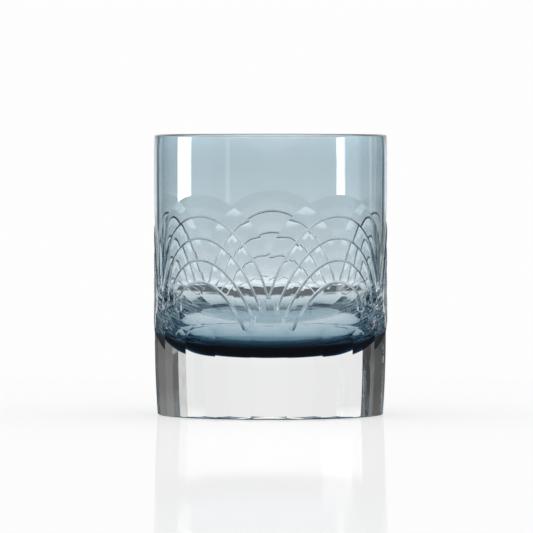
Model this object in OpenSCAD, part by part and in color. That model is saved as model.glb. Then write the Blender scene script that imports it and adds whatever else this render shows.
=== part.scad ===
// Whiskey tumbler: a blue-grey glass bowl cased in clear crystal with a heavy base.
// Millimetres, +Z up. The origin is the middle of the resting face. -Y is the front.

/* [Overall size] */
// Outside diameter of the straight upper wall
body_d = 80; // [76:0.5:84]
// Height from the resting face to the rim
body_h = 96; // [92:0.5:104]
// Turn of the whole cut pattern about the vertical axis, in degrees
pattern_turn = -1; // [-18:1:18]

/* [Walls and floor] */
// Thickness of the whole wall at the rim
rim_wall = 1.3; // [1.1:0.1:1.6]
// Thickness of the whole wall where the inside starts to curve in
low_wall = 2; // [1.9:0.1:2.4]
// Thickness of the clear casing at the rim
rim_casing = 0.25; // [0.2:0.05:0.4]
// Thickness of the clear casing where the bowl starts to curve in
low_casing = 1.45; // [1.3:0.05:1.5]
// Height of the lowest point of the blue bowl, which is the depth of the clear base
base_h = 20.2; // [19:0.2:21]
// Thickness of the blue bowl's floor in the middle
floor_t = 2.6; // [2.4:0.1:3.2]
// Radius of the curve between the inside wall and the inside floor
inside_corner_r = 23; // [22.5:0.5:24]
// Radius of the curve between the bowl's outer wall and its underside
outside_corner_r = 27.5; // [26:0.5:27.5]

/* [Flats round the base] */
// Number of flats cut round the base
flat_count = 20; // [20]
// Height up to which the flats keep their full depth
flat_top = 28.3; // [26:0.1:29]
// Height over which each flat runs out into the round wall
flat_runout = 3.7; // [3:0.1:5]
// Amount that each flat leans in at the resting face
flat_lean = 1; // [0.6:0.1:1.2]
// Radius of the rounded edge under the base
foot_r = 2.7; // [2:0.1:3]
// Radius of the polished hollow in the middle of the underside
hollow_r = 8; // [6:0.5:12]
// Depth of the polished hollow
hollow_depth = 0.6; // [0.4:0.1:0.9]

/* [Cut fans] */
// Number of fans round the wall
fan_count = 5; // [5]
// Height of the top of each fan's outer scallop
fan_top = 76; // [70:0.5:78]
// Drop from one arch of a fan to the next
arch_step = 7.4; // [7:0.1:7.6]
// Depth of the scalloped band outside the first groove
scallop_depth = 0.25; // [0.15:0.05:0.3]
// Depth of the arched grooves
groove_depth = 0.4; // [0.3:0.05:0.5]
// Width of the first groove
groove_w = 0.65; // [0.5:0.05:0.8]
// Amount by which each further groove is wider
groove_widen = 0.12; // [0:0.02:0.15]
// Width of the uncut strip left between two fans
fan_gap = 0.9; // [0.8:0.1:1.4]

/* [Hidden] */
$fn = 180;
body_r = body_d / 2;
// The inside: a straight tapered wall, a corner arc and a shallow dished floor
rim_inside_r = body_r - rim_wall;
low_inside_r = body_r - low_wall;
inside_floor_z = base_h + floor_t;
inside_dish_r = 110;
// The underside of the bowl, made the same way
rim_bowl_r = body_r - rim_casing;
low_bowl_r = body_r - low_casing;
bowl_dish_r = 160;
// The rim is rounded over the last stretch, and draws in a little below that
lip_h = 0.7;
lip_draw = 0.15;
lip_draw_h = 6;
lip_flare = 0.6;
// Grooves: arches 1 to 4, inside the scallop's own edge, which is arch 0
groove_count = 4;
arch_half_w = 28;
arch_drop = [34, 50, 60, 67, 78];
arch_end_z = flat_top + 2;
arch_end_step = 3.9;
arch_steps = 12;
fan_half_w = (PI * 2 * body_r / fan_count - fan_gap) / 2;
// Each flat is a shallow barrel from top to bottom, cut down to its inscribed depth
flat_turn = 360 / flat_count;
flat_depth_r = body_r * cos(flat_turn / 2);
flat_barrel_r = flat_top * flat_top / (2 * flat_lean);
cut_reach = 3;
flat_w = 2 * body_r * sin(flat_turn / 2) + cut_reach;
// How far a cutting shape runs on past what it cuts
over = 1;
// Steps of the curved parts of the outlines
floor_steps = 4;
corner_steps = 18;
foot_steps = 8;
lip_steps = 6;
flat_steps = 6;
hollow_steps = 6;
clear_color = [0.86, 0.89, 0.91, 0.5];
blue_color = [0.35, 0.52, 0.62, 0.8];

// Points on an arc round (cx, cz), from angle a0 to a1
function arc(cx, cz, r, a0, a1, n) =
    [for (i = [0:n]) let (a = a0 + (a1 - a0) * i / n) [cx + r * cos(a), cz + r * sin(a)]];

// A cup outline: dished floor, corner arc, then the wall up past the rim
function cup_outline(floor_z, dish_r, corner_r, low_r, top_r, top_z) =
    let (cx = low_r - corner_r,
         lean = asin(cx / (dish_r - corner_r)),
         cz = floor_z + dish_r - (dish_r - corner_r) * cos(lean))
    concat(arc(0, floor_z + dish_r, dish_r, -90, -90 + lean, floor_steps),
           arc(cx, cz, corner_r, -90 + lean, 0, corner_steps),
           [[top_r, top_z], [0, top_z]]);

// Height of arch k of a fan at the arc distance s from the fan's middle
function arch_z(k, s) =
    fan_top - arch_step * k - arch_drop[k] * (1 - sqrt(1 - pow(s / arch_half_w, 2)));

// Arc distance at which arch k comes down to height z
function arch_s(k, z) =
    let (up = 1 - (fan_top - arch_step * k - z) / arch_drop[k])
    arch_half_w * sqrt(1 - up * up);

// A point of arch k seen square on, moved off the line by d
function arch_point(k, s, d) =
    let (step = 0.01,
         slope = (arch_z(k, s + step) - arch_z(k, s - step)) / (2 * step),
         len = sqrt(1 + slope * slope),
         turn = s / body_r * 180 / PI)
    [body_r * sin(turn) - d * slope / len, arch_z(k, s) + d / len];

// One edge of arch k, from its left end to its right
function arch_edge(k, reach, d) =
    [for (i = [-arch_steps:arch_steps]) arch_point(k, reach * sin(90 * i / arch_steps), d)];

function reversed(list) = [for (i = [len(list) - 1:-1:0]) list[i]];

// How far out the legs of groove k run
function groove_reach(k) =
    min(fan_half_w - groove_w / 2, arch_s(k, arch_end_z + arch_end_step * (groove_count - k)));

// The outside of the whole glass before any cutting
module blank() {
    rotate_extrude()
        polygon(concat([[0, 0]],
                       arc(body_r - foot_r, foot_r, foot_r, -90, 0, foot_steps),
                       [[body_r, body_h - lip_h - lip_draw_h]],
                       arc(body_r - lip_draw - lip_h, body_h - lip_h, lip_h, 0, 90, lip_steps),
                       [[0, body_h]]));
}

// The outer shape of the blue bowl, carried on above the rim
module bowl_blank() {
    rotate_extrude()
        polygon(cup_outline(base_h, bowl_dish_r, outside_corner_r, low_bowl_r, rim_bowl_r, body_h + over));
}

// The drinking space, with the inner half of the rounded rim
module cavity() {
    rotate_extrude()
        polygon(cup_outline(inside_floor_z, inside_dish_r, inside_corner_r,
                            low_inside_r, rim_inside_r, body_h + over));
    lip_in = (rim_wall - lip_draw) / 2;
    translate([0, 0, body_h - lip_in])
        cylinder(h = lip_in + over, r1 = rim_inside_r, r2 = rim_inside_r + (lip_in + over) * lip_flare);
}

// What the wheel takes off for one flat, at the front: a shallow barrel, then the run-out
module flat_cutter() {
    far_r = body_r + cut_reach;
    sweep = asin((flat_top + over) / flat_barrel_r);
    lean = (body_r - flat_depth_r) / flat_runout;
    rotate([90, 0, -90])
        linear_extrude(flat_w, center = true)
            polygon(concat(arc(flat_depth_r - flat_barrel_r, flat_top, flat_barrel_r, -sweep, 0, flat_steps),
                           [[far_r, flat_top + (far_r - flat_depth_r) / lean], [far_r, -over]]));
}

// The scalloped band between a fan's outer edge and its first groove, square on
module scallop_band() {
    polygon(concat(arch_edge(0, fan_half_w, 0), reversed(arch_edge(1, fan_half_w, 0))));
}

// Groove k of a fan, square on
module groove_band(k) {
    half = (groove_w + groove_widen * (k - 1)) / 2;
    polygon(concat(arch_edge(k, groove_reach(k), half), reversed(arch_edge(k, groove_reach(k), -half))));
}

// A shape seen square on, carried in to the wall and cut to a depth below it, on every fan
module cut_on_fans(depth) {
    near_y = body_r * cos(180 / fan_count) - 2 * over;
    for (i = [0:fan_count - 1])
        rotate([0, 0, pattern_turn + (i + 0.5) * 360 / fan_count])
            difference() {
                translate([0, -near_y, 0])
                    rotate([90, 0, 0])
                        linear_extrude(body_r + over - near_y)
                            children();
                cylinder(h = body_h, r = body_r - depth);
            }
}

// The polished hollow under the base
module underside_hollow() {
    ball_r = (hollow_r * hollow_r + hollow_depth * hollow_depth) / (2 * hollow_depth);
    edge_turn = asin((ball_r - hollow_depth - over) / ball_r);
    rotate_extrude()
        polygon(concat([[0, -over]],
                       arc(0, hollow_depth - ball_r, ball_r, edge_turn, 90, hollow_steps)));
}

// Clear crystal: heavy base and outer casing, which carry all the cutting
module clear_body() {
    color(clear_color)
        difference() {
            blank();
            bowl_blank();
            for (i = [0:flat_count - 1])
                rotate([0, 0, pattern_turn + i * flat_turn])
                    flat_cutter();
            cut_on_fans(scallop_depth)
                scallop_band();
            for (k = [1:groove_count])
                cut_on_fans(groove_depth)
                    groove_band(k);
            underside_hollow();
        }
}

// Blue-grey glass: the inner bowl that holds the drink
module tinted_bowl() {
    color(blue_color)
        difference() {
            intersection() {
                blank();
                bowl_blank();
            }
            cavity();
        }
}

clear_body();
tinted_bowl();
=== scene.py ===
import bpy
import bmesh
import math
from mathutils import Matrix, Vector


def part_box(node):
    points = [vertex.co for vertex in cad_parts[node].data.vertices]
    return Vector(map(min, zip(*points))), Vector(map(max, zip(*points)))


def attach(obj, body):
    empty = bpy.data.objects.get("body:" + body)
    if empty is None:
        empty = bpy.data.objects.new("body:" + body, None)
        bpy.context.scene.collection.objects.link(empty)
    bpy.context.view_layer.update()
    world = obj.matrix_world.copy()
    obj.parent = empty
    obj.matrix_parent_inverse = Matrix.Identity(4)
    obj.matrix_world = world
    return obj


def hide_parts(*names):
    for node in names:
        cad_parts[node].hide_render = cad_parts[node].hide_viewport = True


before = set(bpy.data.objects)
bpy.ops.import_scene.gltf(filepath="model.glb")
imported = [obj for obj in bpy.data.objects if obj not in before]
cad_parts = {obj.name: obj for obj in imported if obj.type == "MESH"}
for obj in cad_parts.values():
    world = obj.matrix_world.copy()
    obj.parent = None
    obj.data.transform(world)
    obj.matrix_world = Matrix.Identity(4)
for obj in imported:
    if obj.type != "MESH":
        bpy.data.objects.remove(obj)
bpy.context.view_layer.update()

MM = 0.001
GLASS_LOW, GLASS_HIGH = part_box("clear_body")
BOWL_LOW, BOWL_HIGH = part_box("tinted_bowl")
RADIUS = (GLASS_HIGH.x - GLASS_LOW.x) / 2
HEIGHT = BOWL_HIGH.z

# The section of the glass: rim, inside and underside
RIM_WALL = 1.3 * MM
LOW_WALL = 2.0 * MM
LIP_DRAW = 0.15 * MM
LIP_DRAW_H = 6.0 * MM
OUTER_LIP_R = 0.7 * MM
INNER_LIP_R = RIM_WALL - LIP_DRAW - OUTER_LIP_R
FLOOR_T = 2.6 * MM
INSIDE_FLOOR_Z = BOWL_LOW.z + FLOOR_T
INSIDE_DISH_R = 110 * MM
INSIDE_CORNER_R = 23 * MM
FOOT_R = 2.7 * MM
HOLLOW_R = 8 * MM
HOLLOW_DEPTH = 0.6 * MM

# The blue bowl's own underside, inside the clear glass
RIM_CASING = 0.25 * MM
LOW_CASING = 1.45 * MM
BOWL_CORNER_R = 27.5 * MM
BOWL_DISH_R = 160 * MM
SKIN = 0.02 * MM

# The flats cut round the foot
FLATS = 20
PATTERN_TURN = math.radians(-1)
FLAT_TOP = 28.3 * MM
FLAT_RUNOUT = 3.7 * MM
FLAT_LEAN = 1.0 * MM

# The cut fans: arch 0 is the outer edge, arches 1 to 4 are the grooves. A bevel's curve is given by
# shares of its width and of its depth
FANS = 5
FAN_TOP = 76 * MM
ARCH_STEP = 7.4 * MM
ARCH_HALF_W = 28 * MM
ARCH_DROP = [34 * MM, 50 * MM, 60 * MM, 67 * MM, 78 * MM]
ARCH_END_Z = FLAT_TOP + 2 * MM
ARCH_END_STEP = 3.9 * MM
BEVEL_DEPTH = 0.42 * MM
BEVEL_CURVE = [(0.3, 0.5), (0.6, 0.84)]
GROOVE_DEPTH = 0.72 * MM
GROOVE_W = [0, 0.85 * MM, 0.9 * MM, 0.95 * MM, 1.15 * MM]

# Brightness by compass angle from straight behind the glass: for light that comes through the glass
# from the backdrop and from the ceiling, and for light mirrored by the glass, which shows two bright
# strips, two faint ones and a glow behind
BRIGHTEST = 12
THROUGH = [(-180, 0.3), (-100, 0.35), (-90, 1.2), (-76, 1.2), (-74, 0.3), (-67, 0.12), (-40, 0.06),
           (-38, 1.22), (-31.5, 1.22), (-30.5, 0.12), (-24.5, 0.12), (-23.5, 1.2), (0, 1.24), (24.5, 1.2),
           (25.5, 0.12), (31, 0.12), (32, 1.22), (34.3, 1.22), (34.8, 0.25), (70, 0.22), (74, 0.08),
           (80, 1.2), (110, 1.2), (120, 0.35), (180, 0.3)]
ABOVE = [(-180, 0.45), (-100, 0.5), (-90, 0.8), (-76, 0.8), (-70, 0.45), (70, 0.45), (76, 0.8),
         (100, 0.8), (110, 0.5), (180, 0.45)]
MIRRORED = [(-180, 0.1), (-140, 0.1), (-138.5, 1.6), (-136, 1.6), (-134.5, 0.1), (-95, 0.1), (-94, 12),
            (-76, 12), (-75, 0.2), (-40, 0.1), (-30, 0.1), (-22, 1), (22, 1), (30, 0.1), (60, 0.2),
            (61.5, 1.4), (64.5, 1.4), (66, 0.2), (101, 0.2), (102, 12), (111.5, 12), (112.5, 0.2),
            (180, 0.1)]
# Angles above the horizon between which one part of the room gives way to the next
LOW_GLOW = (-5, -0.6)
HIGH_GLOW = (1.8, 2.9)
CEILING = (14, 26)
STRIP_FOOT = (-1.75, -1.45)
STRIP_HEAD = (3.5, 5)
# The backdrop's share of its full brightness between its two glows, and the plain parts of the room
MIDDLE_SHARE = 0.72
DIM_ROOM = 0.1
SEEN_ROOM = 0.985

# The board as the glass shows it, with painted shade: how bright it looks through the glass by metres
# behind it, with a painted dark strip of shade behind the glass, and the painted dim shade it gets where
# the glass mirrors it
TABLE_BACK = 0.3
TABLE_FRONT = -1.3
# Painted shade: through the glass the board is drawn dark (0.1) from 0.1 to 0.185 m behind the glass
TABLE_PAINTED_SHADE = [(0, 0.95), (0.085, 0.95), (0.1, 0.1), (0.185, 0.1), (0.2, 1), (TABLE_BACK, 1)]
# Half width over which the painted dark strip of shade fades out sideways to the brightness beside it
PAINTED_SHADE_HALF_W = (0.045, 0.06)
TABLE_BESIDE = 0.95
# Painted shade: where the glass mirrors the board, the board is drawn as a dim glow instead of white
TABLE_MIRRORED_PAINTED_SHADE = 0.12

# The camera
CAMERA_SIDE = -1.4 * MM
CAMERA_BACK = 2400 * MM
CAMERA_ABOVE_RIM = 18.5 * MM
CAMERA_AIM_Z = 50.8 * MM

# The blue of the bowl: what a thickness of glass lets through, and how quickly it darkens
BLUE_TINT = (0.16, 0.41, 0.53, 1)
TINT_DENSITY = 400
CRYSTAL_IOR = 1.52

# The finishes of the crystal, in the order of its material slots
POLISHED, FACET, GROOVE = 0, 1, 2


def arc(cx, cz, r, a0, a1, n):
    """Points on an arc in the section's plane, angles in degrees."""
    turns = [math.radians(a0 + (a1 - a0) * i / n) for i in range(n + 1)]
    return [(cx + r * math.cos(a), cz + r * math.sin(a)) for a in turns]


def cup(floor_z, dish_r, corner_r, low_r):
    """A dished floor and corner arc, from the axis out to where the wall starts."""
    cx = low_r - corner_r
    lean = math.degrees(math.asin(cx / (dish_r - corner_r)))
    cz = floor_z + dish_r - (dish_r - corner_r) * math.cos(math.radians(lean))
    floor = arc(0, floor_z + dish_r, dish_r, -90, -90 + lean, 10)
    return floor + arc(cx, cz, corner_r, -90 + lean, 0, 40)[1:]


def wall(low, high, n):
    """Evenly spaced points up a straight wall, without its lower end."""
    return [(low[0] + (high[0] - low[0]) * i / n, low[1] + (high[1] - low[1]) * i / n)
            for i in range(1, n + 1)]


def only(obj):
    bpy.ops.object.select_all(action="DESELECT")
    obj.select_set(True)
    bpy.context.view_layer.objects.active = obj


def draw(name, points, closed):
    """An outline drawn point by point in the XZ plane by extruding one corner along."""
    bpy.ops.object.select_all(action="DESELECT")
    bpy.ops.mesh.primitive_plane_add(size=MM, location=(0, 0, 0))
    obj = bpy.context.active_object
    obj.name = obj.data.name = name
    bpy.ops.object.mode_set(mode="EDIT")
    bpy.ops.mesh.select_all(action="SELECT")
    bpy.ops.mesh.merge(type="CENTER")
    bpy.ops.transform.translate(value=(points[0][0], 0, points[0][1]))
    for (x0, z0), (x1, z1) in zip(points, points[1:]):
        bpy.ops.mesh.extrude_region_move(TRANSFORM_OT_translate={"value": (x1 - x0, 0, z1 - z0)})
    if closed:
        bpy.ops.mesh.select_all(action="SELECT")
        bpy.ops.mesh.edge_face_add()
    bpy.ops.object.mode_set(mode="OBJECT")
    return obj


def spin(obj, steps):
    """Turns a half section into a closed body round the glass's axis."""
    only(obj)
    lathe = obj.modifiers.new("lathe", "SCREW")
    lathe.axis = "Z"
    lathe.steps = lathe.render_steps = steps
    lathe.use_merge_vertices = True
    lathe.merge_threshold = 0.001 * MM
    bpy.ops.object.modifier_apply(modifier=lathe.name)
    bpy.ops.object.mode_set(mode="EDIT")
    bpy.ops.mesh.select_all(action="SELECT")
    bpy.ops.mesh.normals_make_consistent(inside=False)
    bpy.ops.mesh.select_all(action="DESELECT")
    bpy.ops.object.mode_set(mode="OBJECT")
    return obj


def glass_section():
    """The whole glass from the middle of its underside, out, up, over the rim and down inside."""
    ball_r = (HOLLOW_R ** 2 + HOLLOW_DEPTH ** 2) / (2 * HOLLOW_DEPTH)
    edge_turn = math.degrees(math.asin(HOLLOW_R / ball_r))
    hollow = arc(0, HOLLOW_DEPTH - ball_r, ball_r, 90, 90 - edge_turn, 12)
    foot = arc(RADIUS - FOOT_R, FOOT_R, FOOT_R, -90, 0, 20)
    lip_x = RADIUS - LIP_DRAW - OUTER_LIP_R
    outer_lip = arc(lip_x, HEIGHT - OUTER_LIP_R, OUTER_LIP_R, 0, 90, 14)
    inner_lip = arc(lip_x, HEIGHT - INNER_LIP_R, INNER_LIP_R, 90, 180, 10)
    side = wall(foot[-1], (RADIUS, outer_lip[0][1] - LIP_DRAW_H), 16)
    inside = cup(INSIDE_FLOOR_Z, INSIDE_DISH_R, INSIDE_CORNER_R, RADIUS - LOW_WALL)
    inner_side = wall(inside[-1], inner_lip[-1], 12)[:-1]
    return (hollow + wall(hollow[-1], foot[0], 6)[:-1] + foot + side + outer_lip
            + inner_lip[1:] + inner_side[::-1] + inside[::-1])


def bowl_section():
    """The blue bowl: its inside a hair under the glass's own, its underside domed."""
    lip_x = RADIUS - LIP_DRAW - OUTER_LIP_R
    outer_lip = arc(lip_x, HEIGHT - OUTER_LIP_R, OUTER_LIP_R - 5 * SKIN, 0, 90, 8)
    inner_lip = arc(lip_x, HEIGHT - INNER_LIP_R, INNER_LIP_R - SKIN, 90, 180, 6)
    outside = cup(BOWL_LOW.z, BOWL_DISH_R, BOWL_CORNER_R, RADIUS - LOW_CASING)
    inside = cup(INSIDE_FLOOR_Z - SKIN, INSIDE_DISH_R + SKIN, INSIDE_CORNER_R + SKIN,
                 RADIUS - LOW_WALL + SKIN)
    outer_side = wall(outside[-1], outer_lip[0], 12)[:-1]
    inner_side = wall(inside[-1], inner_lip[-1], 12)[:-1]
    return outside + outer_side + outer_lip + inner_lip[1:] + inner_side[::-1] + inside[::-1]


def cut(body, cutter):
    """Takes a cutter's shape out of a body, and keeps the cutter's finish on the new faces."""
    only(body)
    tool = body.modifiers.new("cut", "BOOLEAN")
    tool.operation = "DIFFERENCE"
    tool.solver = "MANIFOLD"
    tool.object = cutter
    bpy.ops.object.modifier_apply(modifier=tool.name)


def repeated(obj, turns):
    """One mesh of several copies of a cutter, turned round the glass's axis and clear of each other."""
    copies = []
    for turn in turns:
        twin = obj.copy()
        twin.data = obj.data.copy()
        twin.data.transform(Matrix.Rotation(PATTERN_TURN + turn, 4, "Z"))
        bpy.context.scene.collection.objects.link(twin)
        copies.append(twin)
    bpy.ops.object.select_all(action="DESELECT")
    for twin in copies:
        twin.select_set(True)
    bpy.context.view_layer.objects.active = copies[0]
    bpy.ops.object.join()
    return copies[0]


def flat_cutter():
    """What the wheel takes off for one flat, facing -Y: a shallow barrel and its run-out."""
    over = 2 * MM
    depth_r = RADIUS * math.cos(math.pi / FLATS)
    barrel_r = FLAT_TOP ** 2 / (2 * FLAT_LEAN)
    sweep = math.degrees(math.asin((FLAT_TOP + over) / barrel_r))
    barrel = arc(depth_r - barrel_r, FLAT_TOP, barrel_r, -sweep, 0, 24)
    steep = FLAT_RUNOUT / (RADIUS - depth_r)
    far_r = RADIUS + 2 * over
    outline = barrel + [(far_r, FLAT_TOP + (far_r - depth_r) * steep), (far_r, -over)]
    half_w = RADIUS * math.sin(math.pi / FLATS) + over
    obj = draw("flat_cutter", outline, True)
    only(obj)
    bpy.ops.object.mode_set(mode="EDIT")
    bpy.ops.mesh.select_all(action="SELECT")
    bpy.ops.transform.translate(value=(0, -half_w, 0))
    bpy.ops.mesh.extrude_region_move(TRANSFORM_OT_translate={"value": (0, 2 * half_w, 0)})
    bpy.ops.mesh.select_all(action="SELECT")
    bpy.ops.mesh.normals_make_consistent(inside=False)
    bpy.ops.object.mode_set(mode="OBJECT")
    obj.data.transform(Matrix.Rotation(-math.pi / 2, 4, "Z"))
    return obj


def arch_z(k, s):
    """Height of arch k at the arc distance s from the fan's middle."""
    return FAN_TOP - ARCH_STEP * k - ARCH_DROP[k] * (1 - math.sqrt(1 - (s / ARCH_HALF_W) ** 2))


def arch_reach(k):
    """Arc distance at which arch k ends: at the next fan, or above the flats."""
    half_fan = math.pi * RADIUS / FANS
    if k == 0:
        return half_fan
    up = 1 - (FAN_TOP - ARCH_STEP * k - ARCH_END_Z - ARCH_END_STEP * (4 - k)) / ARCH_DROP[k]
    return min(half_fan, ARCH_HALF_W * math.sqrt(1 - up * up))


def on_wall(s, z, depth):
    """The point at arc distance s from the front, at that depth under the wall."""
    a = s / RADIUS
    return Vector(((RADIUS - depth) * math.sin(a), -(RADIUS - depth) * math.cos(a), z))


def arch_cutter(k):
    """The wheel's cut along arch k: a scooped bevel down from arch k - 1, then a V groove."""
    over, steps = 1.5 * MM, 40
    rings = []
    for i in range(-steps, steps + 1):
        u = math.sin(math.pi / 2 * i / steps)
        s0, s1 = arch_reach(k - 1) * u, arch_reach(k) * u
        ds = 0.01 * MM
        slope = (arch_z(k, s1 + ds) - arch_z(k, s1 - ds)) / (2 * ds)
        n = math.sqrt(1 + slope * slope)
        z0, z1 = arch_z(k - 1, s0), arch_z(k, s1)
        half = GROOVE_W[k] / 2
        ahead = (s1 - half * slope / n, z1 + half / n)
        below = (s1 + half * slope / n, z1 - half / n)
        bevel = BEVEL_DEPTH * (1 - abs(u) ** 8)
        scoop = [on_wall(s0 + (ahead[0] - s0) * t, z0 + (ahead[1] - z0) * t, bevel * share)
                 for t, share in BEVEL_CURVE]
        rings.append([on_wall(s0, z0, -SKIN), *scoop, on_wall(*ahead, bevel),
                      on_wall(s1, z1, GROOVE_DEPTH), on_wall(*below, -SKIN),
                      on_wall(*below, -over), on_wall(s0, z0, -over)])
    mesh = bpy.data.meshes.new("arch_cutter")
    bm = bmesh.new()
    rows = [[bm.verts.new(p) for p in ring] for ring in rings]
    for a, b in zip(rows, rows[1:]):
        for j in range(len(a)):
            face = bm.faces.new((a[j], a[j - 1], b[j - 1], b[j]))
            face.material_index = GROOVE if j in (4, 5) else FACET
    bm.faces.new(rows[0])
    bm.faces.new(rows[-1][::-1])
    bmesh.ops.recalc_face_normals(bm, faces=bm.faces)
    bm.to_mesh(mesh)
    bm.free()
    obj = bpy.data.objects.new("arch_cutter", mesh)
    bpy.context.scene.collection.objects.link(obj)
    return obj


def sharpen(obj):
    """Smooth faces everywhere, with hard lines only where the wheel's cuts meet something."""
    only(obj)
    bpy.ops.object.shade_smooth()
    bm = bmesh.new()
    bm.from_mesh(obj.data)
    for edge in bm.edges:
        a, b = edge.link_faces[0], edge.link_faces[-1]
        meets = a.material_index != b.material_index
        folds = a.material_index != POLISHED and edge.calc_face_angle(0) > math.radians(2.5)
        edge.smooth = not (meets or folds)
    bm.to_mesh(obj.data)
    bm.free()


def clear_crystal(finishes):
    """The clear crystal: one solid body with the drinking space, then all the cutting."""
    obj = spin(draw("crystal_body", glass_section(), False), 480)
    flat = flat_cutter()
    arches = [arch_cutter(k) for k in range(1, len(ARCH_DROP))]
    for piece in [obj, flat] + arches:
        for finish in finishes:
            piece.data.materials.append(finish)
    flat.data.polygons.foreach_set("material_index", [FACET] * len(flat.data.polygons))
    every = math.tau / FLATS
    cutters = [repeated(flat, [i * every for i in range(first, FLATS, 2)]) for first in (0, 1)]
    for arch in arches:
        for fans in ((0, 2), (1, 3), (4,)):
            cutters.append(repeated(arch, [(i + 0.5) * math.tau / FANS for i in fans]))
    for cutter in cutters:
        cut(obj, cutter)
        bpy.data.objects.remove(cutter)
    for spare in [flat] + arches:
        bpy.data.objects.remove(spare)
    sharpen(obj)
    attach(obj, "root")
    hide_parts("clear_body")
    return obj


def blue_bowl(tint):
    """The blue-grey bowl, sealed in the crystal and open at the top."""
    obj = spin(draw("blue_bowl", bowl_section(), False), 360)
    obj.data.materials.append(tint)
    only(obj)
    bpy.ops.object.shade_smooth()
    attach(obj, "root")
    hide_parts("tinted_bowl")
    return obj


def new_material(name):
    mat = bpy.data.materials.new(name)
    mat.use_nodes = True
    return mat, mat.node_tree.nodes, mat.node_tree.links


def wheel_work():
    """How worked glass varies over its surface: slow waves from polishing, fine grain from a wheel."""
    group = bpy.data.node_groups.new("wheel_work", "ShaderNodeTree")
    nodes, links = group.nodes, group.links
    for name, value in (("Wave Size", 60.0), ("Grain Size", 1500.0), ("Grain", 0.0), ("Dullness", 0.0)):
        socket = group.interface.new_socket(name, in_out="INPUT", socket_type="NodeSocketFloat")
        socket.default_value = value
    group.interface.new_socket("Body Colour", in_out="OUTPUT", socket_type="NodeSocketColor")
    group.interface.new_socket("Roughness", in_out="OUTPUT", socket_type="NodeSocketFloat")
    group.interface.new_socket("Height", in_out="OUTPUT", socket_type="NodeSocketFloat")
    given, result = nodes.new("NodeGroupInput"), nodes.new("NodeGroupOutput")
    place = nodes.new("ShaderNodeTexCoord")
    wave = nodes.new("ShaderNodeTexNoise")
    wave.inputs["Detail"].default_value = 1
    links.new(place.outputs["Object"], wave.inputs["Vector"])
    links.new(given.outputs["Wave Size"], wave.inputs["Scale"])
    grain = nodes.new("ShaderNodeTexNoise")
    grain.inputs["Detail"].default_value = 3
    links.new(place.outputs["Object"], grain.inputs["Vector"])
    links.new(given.outputs["Grain Size"], grain.inputs["Scale"])
    colour = nodes.new("ShaderNodeMix")
    colour.data_type = "RGBA"
    links.new(wave.outputs["Fac"], colour.inputs["Factor"])
    colour.inputs[6].default_value = (0.975, 0.99, 0.985, 1)
    colour.inputs[7].default_value = (1, 1, 1, 1)
    links.new(colour.outputs[2], result.inputs["Body Colour"])
    rough = nodes.new("ShaderNodeMath")
    rough.operation = "MULTIPLY"
    links.new(grain.outputs["Fac"], rough.inputs[0])
    links.new(given.outputs["Dullness"], rough.inputs[1])
    links.new(rough.outputs[0], result.inputs["Roughness"])
    height = nodes.new("ShaderNodeMath")
    height.operation = "MULTIPLY_ADD"
    links.new(grain.outputs["Fac"], height.inputs[0])
    links.new(given.outputs["Grain"], height.inputs[1])
    links.new(wave.outputs["Fac"], height.inputs[2])
    links.new(height.outputs[0], result.inputs["Height"])
    return group


def crystal_material(name, work, wave_size, wave_depth, grain, dullness):
    """Clear crystal with one finish; only ground glass is dull, and its dullness follows the grain."""
    mat, nodes, links = new_material(name)
    glass = nodes["Principled BSDF"]
    glass.inputs["IOR"].default_value = CRYSTAL_IOR
    glass.inputs["Transmission Weight"].default_value = 1
    surface = nodes.new("ShaderNodeGroup")
    surface.node_tree = work
    surface.inputs["Wave Size"].default_value = wave_size
    surface.inputs["Grain"].default_value = grain
    surface.inputs["Dullness"].default_value = dullness
    links.new(surface.outputs["Body Colour"], glass.inputs["Base Color"])
    if dullness:
        links.new(surface.outputs["Roughness"], glass.inputs["Roughness"])
    else:
        glass.inputs["Roughness"].default_value = 0
    bump = nodes.new("ShaderNodeBump")
    bump.inputs["Distance"].default_value = wave_depth
    links.new(surface.outputs["Height"], bump.inputs["Height"])
    links.new(bump.outputs["Normal"], glass.inputs["Normal"])
    return mat


def blue_material():
    """Blue-grey glass, coloured by its depth, with faint upright cords of paler colour in it."""
    mat, nodes, links = new_material("blue_grey_glass")
    glass = nodes["Principled BSDF"]
    glass.inputs["Roughness"].default_value = 0
    glass.inputs["IOR"].default_value = 1
    glass.inputs["Transmission Weight"].default_value = 1
    tint = nodes.new("ShaderNodeVolumeAbsorption")
    tint.inputs["Color"].default_value = BLUE_TINT
    tint.inputs["Density"].default_value = TINT_DENSITY
    links.new(tint.outputs["Volume"], nodes["Material Output"].inputs["Volume"])
    place = nodes.new("ShaderNodeTexCoord")
    upright = nodes.new("ShaderNodeMapping")
    upright.inputs["Scale"].default_value = (1, 1, 0.08)
    cords = nodes.new("ShaderNodeTexNoise")
    cords.inputs["Scale"].default_value = 90
    cords.inputs["Detail"].default_value = 1
    colour = nodes.new("ShaderNodeMix")
    colour.data_type = "RGBA"
    colour.inputs[6].default_value = (0.94, 0.965, 0.975, 1)
    colour.inputs[7].default_value = (1, 1, 1, 1)
    links.new(place.outputs["Object"], upright.inputs["Vector"])
    links.new(upright.outputs["Vector"], cords.inputs["Vector"])
    links.new(cords.outputs["Fac"], colour.inputs["Factor"])
    links.new(colour.outputs[2], glass.inputs["Base Color"])
    return mat


def crossing(nodes, links, value, between, low=0, high=1):
    """A share that goes from low to high while a value crosses between two limits."""
    share = nodes.new("ShaderNodeMapRange")
    share.inputs["From Min"].default_value = between[0]
    share.inputs["From Max"].default_value = between[1]
    share.inputs["To Min"].default_value = low
    share.inputs["To Max"].default_value = high
    links.new(value, share.inputs["Value"])
    return share.outputs["Result"]


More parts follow.
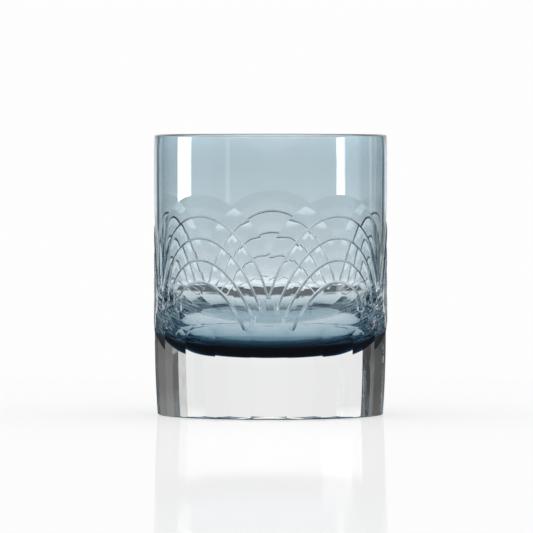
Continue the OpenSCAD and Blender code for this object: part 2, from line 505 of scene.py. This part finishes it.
def greys(nodes, links, value, stops, brightest=1):
    """A grey ramp over a value, through (value, brightness) stops."""
    first, last = stops[0][0], stops[-1][0]
    ramp = nodes.new("ShaderNodeValToRGB")
    elements = ramp.color_ramp.elements
    while len(elements) < len(stops):
        elements.new(0.5)
    for element, (at, brightness) in zip(elements, stops):
        element.position = (at - first) / (last - first)
    for element, (at, brightness) in zip(elements, stops):
        grey = brightness / brightest
        element.color = (grey, grey, grey, 1)
    links.new(crossing(nodes, links, value, (first, last)), ramp.inputs["Fac"])
    return ramp.outputs["Color"]


def blended(nodes, links, share, first, second, brightest=1):
    """Goes from the first grey to the second by a share; a grey given as a number is a brightness."""
    mix = nodes.new("ShaderNodeMix")
    mix.data_type = "RGBA"
    if isinstance(share, float):
        mix.inputs["Factor"].default_value = share
    else:
        links.new(share, mix.inputs["Factor"])
    for socket, value in ((mix.inputs[6], first), (mix.inputs[7], second)):
        if isinstance(value, (int, float)):
            grey = value / brightest
            socket.default_value = (grey, grey, grey, 1)
        else:
            links.new(value, socket)
    return mix.outputs[2]


def floor_material():
    """White board with a slight sheen; what the glass shows of it is painted: through the glass it has a
    painted dark strip of shade behind the glass, and mirrored by the glass it is painted dim.
    """
    mat, nodes, links = new_material("pale_floor")
    board = nodes["Principled BSDF"]
    board.inputs["Base Color"].default_value = (0.45, 0.45, 0.45, 1)
    board.inputs["Roughness"].default_value = 0.5
    board.inputs["Specular IOR Level"].default_value = 0
    board.inputs["Emission Color"].default_value = (1, 1, 1, 1)
    board.inputs["Emission Strength"].default_value = 0.595
    sheen = nodes.new("ShaderNodeBsdfGlossy")
    sheen.inputs["Roughness"].default_value = 0.05
    seen_board = nodes.new("ShaderNodeMixShader")
    seen_board.inputs["Fac"].default_value = 0.15
    links.new(board.outputs["BSDF"], seen_board.inputs[1])
    links.new(sheen.outputs["BSDF"], seen_board.inputs[2])
    place = nodes.new("ShaderNodeTexCoord")
    axes = nodes.new("ShaderNodeSeparateXYZ")
    across = nodes.new("ShaderNodeMath")
    across.operation = "ABSOLUTE"
    links.new(place.outputs["Object"], axes.inputs[0])
    links.new(axes.outputs["X"], across.inputs[0])
    # Painted shade: a dark strip on the board behind the glass, only for rays that come through the glass
    behind = greys(nodes, links, axes.outputs["Y"], TABLE_PAINTED_SHADE)
    beside = crossing(nodes, links, across.outputs[0], PAINTED_SHADE_HALF_W)
    board_with_painted_shade = nodes.new("ShaderNodeEmission")
    links.new(blended(nodes, links, beside, behind, TABLE_BESIDE), board_with_painted_shade.inputs["Strength"])
    # Painted shade: a dim copy of the board for rays mirrored by the glass
    mirrored = nodes.new("ShaderNodeEmission")
    mirrored.inputs["Strength"].default_value = TABLE_MIRRORED_PAINTED_SHADE
    ray = nodes.new("ShaderNodeLightPath")
    shown = seen_board.outputs["Shader"]
    for kind, shade in (("Is Transmission Ray", board_with_painted_shade), ("Is Reflection Ray", mirrored)):
        pick = nodes.new("ShaderNodeMixShader")
        links.new(ray.outputs[kind], pick.inputs["Fac"])
        links.new(shown, pick.inputs[1])
        links.new(shade.outputs["Emission"], pick.inputs[2])
        shown = pick.outputs["Shader"]
    links.new(shown, nodes["Material Output"].inputs["Surface"])
    return mat


def floor():
    """The board runs out of the picture at the front and ends behind the glass, against the white room."""
    bpy.ops.object.select_all(action="DESELECT")
    bpy.ops.mesh.primitive_plane_add(size=2 * TABLE_BACK, location=(0, 0, -SKIN))
    obj = bpy.context.active_object
    obj.name = obj.data.name = "floor"
    for vertex in obj.data.vertices:
        if vertex.co.y < 0:
            vertex.co.y = TABLE_FRONT
    obj.data.materials.append(floor_material())


def studio():
    """A dim room with a lit backdrop and bright strips round the glass; the camera sees it plain white."""
    world = bpy.data.worlds.new("studio")
    bpy.context.scene.world = world
    world.use_nodes = True
    nodes, links = world.node_tree.nodes, world.node_tree.links
    place = nodes.new("ShaderNodeTexCoord")
    axes = nodes.new("ShaderNodeSeparateXYZ")
    turn = nodes.new("ShaderNodeMath")
    turn.operation = "ARCTAN2"
    rise = nodes.new("ShaderNodeMath")
    rise.operation = "ARCSINE"
    links.new(place.outputs["Generated"], axes.inputs[0])
    links.new(axes.outputs["X"], turn.inputs[0])
    links.new(axes.outputs["Y"], turn.inputs[1])
    links.new(axes.outputs["Z"], rise.inputs[0])
    bearing, height = turn.outputs[0], rise.outputs[0]

    def round_about(stops):
        turned = [(math.radians(angle), brightness) for angle, brightness in stops]
        return greys(nodes, links, bearing, turned, BRIGHTEST)

    def climbing(between, first, second):
        rising = crossing(nodes, links, height, [math.radians(angle) for angle in between])
        return blended(nodes, links, rising, first, second, BRIGHTEST)

    backdrop = round_about(THROUGH)
    dimmer = blended(nodes, links, MIDDLE_SHARE, 0, backdrop, BRIGHTEST)
    through = climbing(LOW_GLOW, backdrop, dimmer)
    through = climbing(HIGH_GLOW, through, backdrop)
    room = climbing(CEILING, through, round_about(ABOVE))
    mirrored = climbing(STRIP_FOOT, DIM_ROOM, round_about(MIRRORED))
    mirrored = climbing(STRIP_HEAD, mirrored, 1)
    ray = nodes.new("ShaderNodeLightPath")
    room = blended(nodes, links, ray.outputs["Is Reflection Ray"], room, mirrored, BRIGHTEST)
    room = blended(nodes, links, ray.outputs["Is Diffuse Ray"], room, 1, BRIGHTEST)
    room = blended(nodes, links, ray.outputs["Is Camera Ray"], room, SEEN_ROOM, BRIGHTEST)
    light = nodes["Background"]
    light.inputs["Strength"].default_value = BRIGHTEST
    links.new(room, light.inputs["Color"])


def camera():
    """A long lens in front of the glass, a little above its rim and looking slightly down."""
    spot = Vector((CAMERA_SIDE, -CAMERA_BACK, HEIGHT + CAMERA_ABOVE_RIM))
    aim = Vector((CAMERA_SIDE, 0, CAMERA_AIM_Z))
    lens = bpy.data.cameras.new("camera")
    lens.lens = 473
    lens.sensor_width = 36
    lens.clip_start = 0.1
    lens.clip_end = 100
    obj = bpy.data.objects.new("camera", lens)
    bpy.context.scene.collection.objects.link(obj)
    obj.location = spot
    obj.rotation_mode = "QUATERNION"
    obj.rotation_quaternion = (aim - spot).to_track_quat("-Z", "Y")
    bpy.context.scene.camera = obj


def picture_settings():
    scene = bpy.context.scene
    scene.view_settings.view_transform = "Standard"
    scene.cycles.max_bounces = 32
    scene.cycles.transmission_bounces = 32
    scene.cycles.glossy_bounces = 16
    scene.cycles.diffuse_bounces = 2
    scene.cycles.volume_bounces = 0


camera()
floor()
studio()
picture_settings()
work = wheel_work()
finishes = [crystal_material("polished_crystal", work, 60, 0.01 * MM, grain=0, dullness=0),
            crystal_material("cut_facets", work, 160, 0.015 * MM, grain=0, dullness=0),
            crystal_material("matt_grooves", work, 160, 0.03 * MM, grain=1, dullness=0.7)]
clear_crystal(finishes)
blue_bowl(blue_material())
